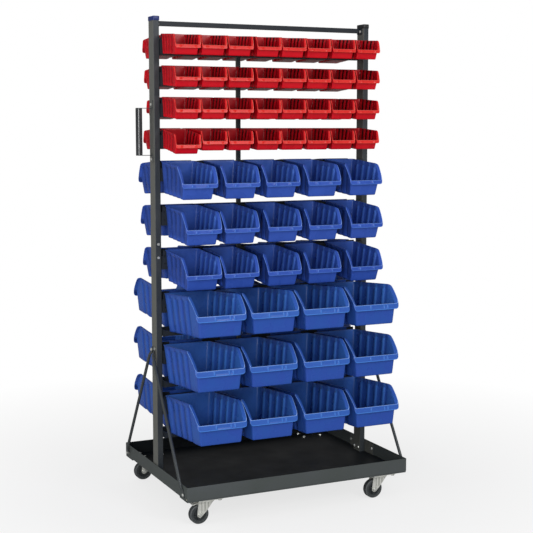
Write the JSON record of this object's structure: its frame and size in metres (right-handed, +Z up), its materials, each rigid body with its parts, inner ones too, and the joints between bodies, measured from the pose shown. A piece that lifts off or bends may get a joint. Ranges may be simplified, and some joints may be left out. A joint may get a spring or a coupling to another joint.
{
  "type": "mobile bin cart",
  "caption": "Double-sided rolling rack with two square-section posts on a shallow tray and swivel casters, carrying rows of red and blue open-fronted plastic bins hung on rails.",
  "frame": {"origin": "middle of the whole object's footprint, on the ground under the wheels", "axes": "+Z up, -Y the front that the picture shows, +X along the rows towards the end without a handle"},
  "size_m": [1.0247, 0.781, 1.9055],
  "materials": {
    "coated_tray": "satin powder coat, dark grey",
    "coated_frame": "satin powder coat, charcoal",
    "zinc": "bright zinc plate",
    "bolt_zinc": "zinc plate",
    "cap_blue": "moulded polyethylene, dark blue",
    "cap_black": "moulded polyethylene, black",
    "bin_red": "moulded polypropylene, red",
    "bin_blue": "moulded polypropylene, blue",
    "hub_plastic": "moulded polyamide, dark grey",
    "tyre_rubber": "solid rubber, black"
  },
  "bodies": {
    "frame": {"base_tray": "coated_tray", "foot_brackets": "coated_frame", "left_lower_post": "coated_frame", "right_lower_post": "coated_frame", "left_upper_post": "coated_frame", "right_upper_post": "coated_frame", "splice_sleeves": "coated_frame", "top_crossbar": "coated_frame", "centre_strut": "coated_frame", "small_bin_rails": "coated_frame", "medium_bin_rails": "coated_frame", "large_bin_rails": "coated_frame", "handle_grip": "coated_frame", "handle_brackets": "coated_frame", "left_front_brace": "coated_frame", "left_rear_brace": "coated_frame", "right_front_brace": "coated_frame", "right_rear_brace": "coated_frame", "left_cap": "cap_blue", "right_cap": "cap_black", "bolts": "bolt_zinc", "caster_plates": "zinc"},
    "left_front_swivel": {"left_front_fork": "zinc", "left_front_axle": "bolt_zinc"},
    "left_front_wheel": {"left_front_hub": "hub_plastic", "left_front_tyre": "tyre_rubber"},
    "left_front_brake": {"left_front_brake": "zinc"},
    "left_rear_swivel": {"left_rear_fork": "zinc", "left_rear_axle": "bolt_zinc"},
    "left_rear_wheel": {"left_rear_hub": "hub_plastic", "left_rear_tyre": "tyre_rubber"},
    "left_rear_brake": {"left_rear_brake": "zinc"},
    "right_front_swivel": {"right_front_fork": "zinc", "right_front_axle": "bolt_zinc"},
    "right_front_wheel": {"right_front_hub": "hub_plastic", "right_front_tyre": "tyre_rubber"},
    "right_rear_swivel": {"right_rear_fork": "zinc", "right_rear_axle": "bolt_zinc"},
    "right_rear_wheel": {"right_rear_hub": "hub_plastic", "right_rear_tyre": "tyre_rubber"},
    "front_row_1": {"front_bins_row_1": "bin_red"},
    "rear_row_1": {"rear_bins_row_1": "bin_red"},
    "front_row_2": {"front_bins_row_2": "bin_red"},
    "rear_row_2": {"rear_bins_row_2": "bin_red"},
    "front_row_3": {"front_bins_row_3": "bin_red"},
    "rear_row_3": {"rear_bins_row_3": "bin_red"},
    "front_row_4": {"front_bins_row_4": "bin_red"},
    "rear_row_4": {"rear_bins_row_4": "bin_red"},
    "front_row_5": {"front_bins_row_5": "bin_blue"},
    "rear_row_5": {"rear_bins_row_5": "bin_blue"},
    "front_row_6": {"front_bins_row_6": "bin_blue"},
    "rear_row_6": {"rear_bins_row_6": "bin_blue"},
    "front_row_7": {"front_bins_row_7": "bin_blue"},
    "rear_row_7": {"rear_bins_row_7": "bin_blue"},
    "front_row_8": {"front_bins_row_8": "bin_blue"},
    "rear_row_8": {"rear_bins_row_8": "bin_blue"},
    "front_row_9": {"front_bins_row_9": "bin_blue"},
    "rear_row_9": {"rear_bins_row_9": "bin_blue"},
    "front_row_10": {"front_bins_row_10": "bin_blue"},
    "rear_row_10": {"rear_bins_row_10": "bin_blue"}
  },
  "joints": [
    {"name": "left_front_caster_turn", "type": "hinge", "parent": "frame", "child": "left_front_swivel", "pos_m": [-0.35565, -0.316, 0.0927], "axis": [0, 0, 1], "continuous": true},
    {"name": "left_front_wheel_roll", "type": "hinge", "parent": "left_front_swivel", "child": "left_front_wheel", "pos_m": [-0.39165, -0.316, 0.0375], "axis": [0, 1, 0], "continuous": true},
    {"name": "left_front_brake_press", "type": "hinge", "parent": "left_front_swivel", "child": "left_front_brake", "pos_m": [-0.37965, -0.316, 0.082], "axis": [0, -1, 0], "range_deg": [0, 16]},
    {"name": "left_rear_caster_turn", "type": "hinge", "parent": "frame", "child": "left_rear_swivel", "pos_m": [-0.35565, 0.316, 0.0927], "axis": [0, 0, 1], "continuous": true},
    {"name": "left_rear_wheel_roll", "type": "hinge", "parent": "left_rear_swivel", "child": "left_rear_wheel", "pos_m": [-0.39165, 0.316, 0.0375], "axis": [0, 1, 0], "continuous": true},
    {"name": "left_rear_brake_press", "type": "hinge", "parent": "left_rear_swivel", "child": "left_rear_brake", "pos_m": [-0.37965, 0.316, 0.082], "axis": [0, -1, 0], "range_deg": [0, 16]},
    {"name": "right_front_caster_turn", "type": "hinge", "parent": "frame", "child": "right_front_swivel", "pos_m": [0.40035, -0.316, 0.0927], "axis": [0, 0, 1], "continuous": true},
    {"name": "right_front_wheel_roll", "type": "hinge", "parent": "right_front_swivel", "child": "right_front_wheel", "pos_m": [0.36435, -0.316, 0.0375], "axis": [0, 1, 0], "continuous": true},
    {"name": "right_rear_caster_turn", "type": "hinge", "parent": "frame", "child": "right_rear_swivel", "pos_m": [0.40035, 0.316, 0.0927], "axis": [0, 0, 1], "continuous": true},
    {"name": "right_rear_wheel_roll", "type": "hinge", "parent": "right_rear_swivel", "child": "right_rear_wheel", "pos_m": [0.36435, 0.316, 0.0375], "axis": [0, 1, 0], "continuous": true},
    {"name": "front_row_1_lift_off", "type": "slide", "parent": "frame", "child": "front_row_1", "axis": [0, 0, 1], "range_m": [0, 0.012]},
    {"name": "rear_row_1_lift_off", "type": "slide", "parent": "frame", "child": "rear_row_1", "axis": [0, 0, 1], "range_m": [0, 0.012]},
    {"name": "front_row_2_lift_off", "type": "slide", "parent": "frame", "child": "front_row_2", "axis": [0, 0, 1], "range_m": [0, 0.012]},
    {"name": "rear_row_2_lift_off", "type": "slide", "parent": "frame", "child": "rear_row_2", "axis": [0, 0, 1], "range_m": [0, 0.012]},
    {"name": "front_row_3_lift_off", "type": "slide", "parent": "frame", "child": "front_row_3", "axis": [0, 0, 1], "range_m": [0, 0.012]},
    {"name": "rear_row_3_lift_off", "type": "slide", "parent": "frame", "child": "rear_row_3", "axis": [0, 0, 1], "range_m": [0, 0.012]},
    {"name": "front_row_4_lift_off", "type": "slide", "parent": "frame", "child": "front_row_4", "axis": [0, 0, 1], "range_m": [0, 0.012]},
    {"name": "rear_row_4_lift_off", "type": "slide", "parent": "frame", "child": "rear_row_4", "axis": [0, 0, 1], "range_m": [0, 0.012]},
    {"name": "front_row_5_lift_off", "type": "slide", "parent": "frame", "child": "front_row_5", "axis": [0, 0, 1], "range_m": [0, 0.012]},
    {"name": "rear_row_5_lift_off", "type": "slide", "parent": "frame", "child": "rear_row_5", "axis": [0, 0, 1], "range_m": [0, 0.012]},
    {"name": "front_row_6_lift_off", "type": "slide", "parent": "frame", "child": "front_row_6", "axis": [0, 0, 1], "range_m": [0, 0.012]},
    {"name": "rear_row_6_lift_off", "type": "slide", "parent": "frame", "child": "rear_row_6", "axis": [0, 0, 1], "range_m": [0, 0.012]},
    {"name": "front_row_7_lift_off", "type": "slide", "parent": "frame", "child": "front_row_7", "axis": [0, 0, 1], "range_m": [0, 0.012]},
    {"name": "rear_row_7_lift_off", "type": "slide", "parent": "frame", "child": "rear_row_7", "axis": [0, 0, 1], "range_m": [0, 0.012]},
    {"name": "front_row_8_lift_off", "type": "slide", "parent": "frame", "child": "front_row_8", "axis": [0, 0, 1], "range_m": [0, 0.012]},
    {"name": "rear_row_8_lift_off", "type": "slide", "parent": "frame", "child": "rear_row_8", "axis": [0, 0, 1], "range_m": [0, 0.012]},
    {"name": "front_row_9_lift_off", "type": "slide", "parent": "frame", "child": "front_row_9", "axis": [0, 0, 1], "range_m": [0, 0.012]},
    {"name": "rear_row_9_lift_off", "type": "slide", "parent": "frame", "child": "rear_row_9", "axis": [0, 0, 1], "range_m": [0, 0.012]},
    {"name": "front_row_10_lift_off", "type": "slide", "parent": "frame", "child": "front_row_10", "axis": [0, 0, 1], "range_m": [0, 0.012]},
    {"name": "rear_row_10_lift_off", "type": "slide", "parent": "frame", "child": "rear_row_10", "axis": [0, 0, 1], "range_m": [0, 0.012]}
  ]
}
